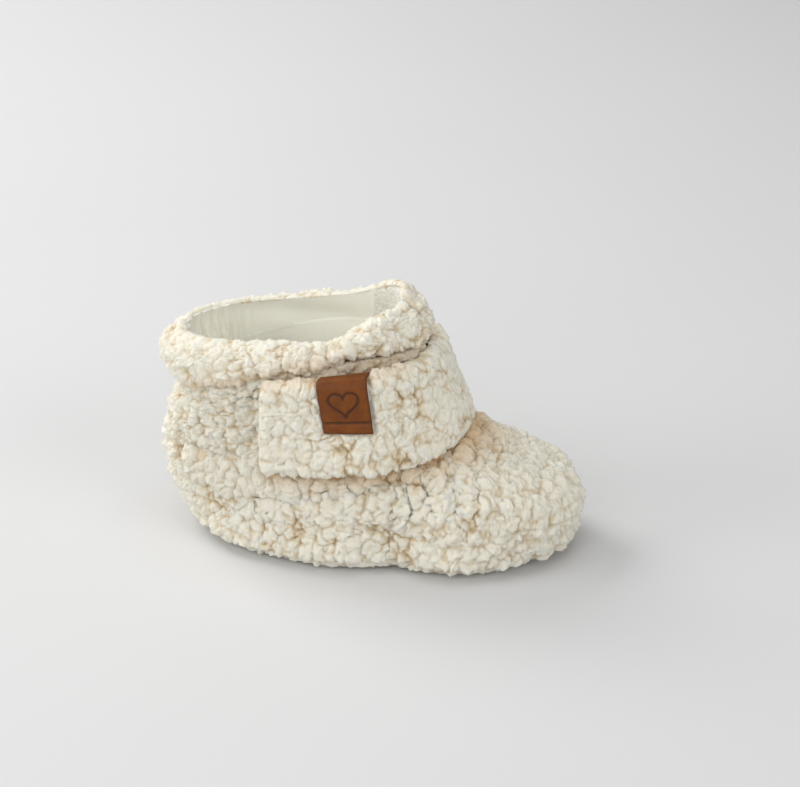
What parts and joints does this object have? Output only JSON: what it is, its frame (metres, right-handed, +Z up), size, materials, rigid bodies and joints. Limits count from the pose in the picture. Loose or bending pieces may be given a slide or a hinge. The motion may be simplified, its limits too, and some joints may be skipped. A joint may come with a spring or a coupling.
{
  "type": "baby bootie",
  "caption": "Soft baby bootie of curly plush with a jersey lining, an open ankle cuff with a front flap, and a wide instep strap that closes on the side under a leather tag.",
  "frame": {"origin": "on the ground, at the middle of the bootie's length and width", "axes": "+X from heel to toe, +Z up, -Y towards the outer side of the foot, which carries the tag"},
  "size_m": [0.1235, 0.0654, 0.0748],
  "materials": {
    "plush": "curly sherpa pile, cream white",
    "plush_facing": "short brushed pile, cream white",
    "jersey": "smooth cotton jersey, cream",
    "foam": "soft open-cell foam",
    "elastic": "woven elastic tape",
    "loop_tape": "short loop pile, matt",
    "hook_tape": "nylon hooks on woven tape",
    "tag_leather": "smooth tan-brown leather, embossed",
    "thread": "sewing thread, cream",
    "tag_thread": "sewing thread, dark brown"
  },
  "bodies": {
    "shoe": {"outsole": "plush", "sole_padding": "foam", "insole_lining": "jersey", "vamp": "plush", "vamp_lining": "jersey", "quarter_lateral": "plush", "quarter_medial": "plush", "quarter_lining_lateral": "jersey", "quarter_lining_medial": "jersey", "heel_elastic": "elastic", "cuff_lateral": "plush", "cuff_medial": "plush", "cuff_lining_lateral": "jersey", "cuff_lining_medial": "jersey", "cuff_facing_medial": "plush_facing", "loop_patch": "loop_tape", "loop_patch_stitches": "thread", "strap_anchor": "plush", "strap_anchor_lining": "jersey", "strap_anchor_stitches": "thread"},
    "flap": {"flap": "plush", "flap_facing": "plush_facing"},
    "strap_bridge": {"strap_bridge": "plush", "strap_bridge_lining": "jersey"},
    "strap_tab": {"strap_tab": "plush", "strap_tab_lining": "jersey", "hook_patch": "hook_tape", "hook_patch_stitches": "thread", "leather_tag": "tag_leather", "tag_stitches": "tag_thread"}
  },
  "joints": [
    {"name": "flap_swing", "type": "hinge", "parent": "shoe", "child": "flap", "pos_m": [-0.0038, -0.024, 0.066], "axis": [0, 0, -1], "range_deg": [0, 60]},
    {"name": "strap_swing", "type": "hinge", "parent": "shoe", "child": "strap_bridge", "pos_m": [-0.0078, 0.0315, 0.045], "axis": [-0.2079, 0, 0.9781], "range_deg": [0, 55]},
    {"name": "strap_peel", "type": "hinge", "parent": "strap_bridge", "child": "strap_tab", "pos_m": [0.0082, -0.0276, 0.045], "axis": [0, 0.174, 0.9848], "range_deg": [0, 75]}
  ]
}
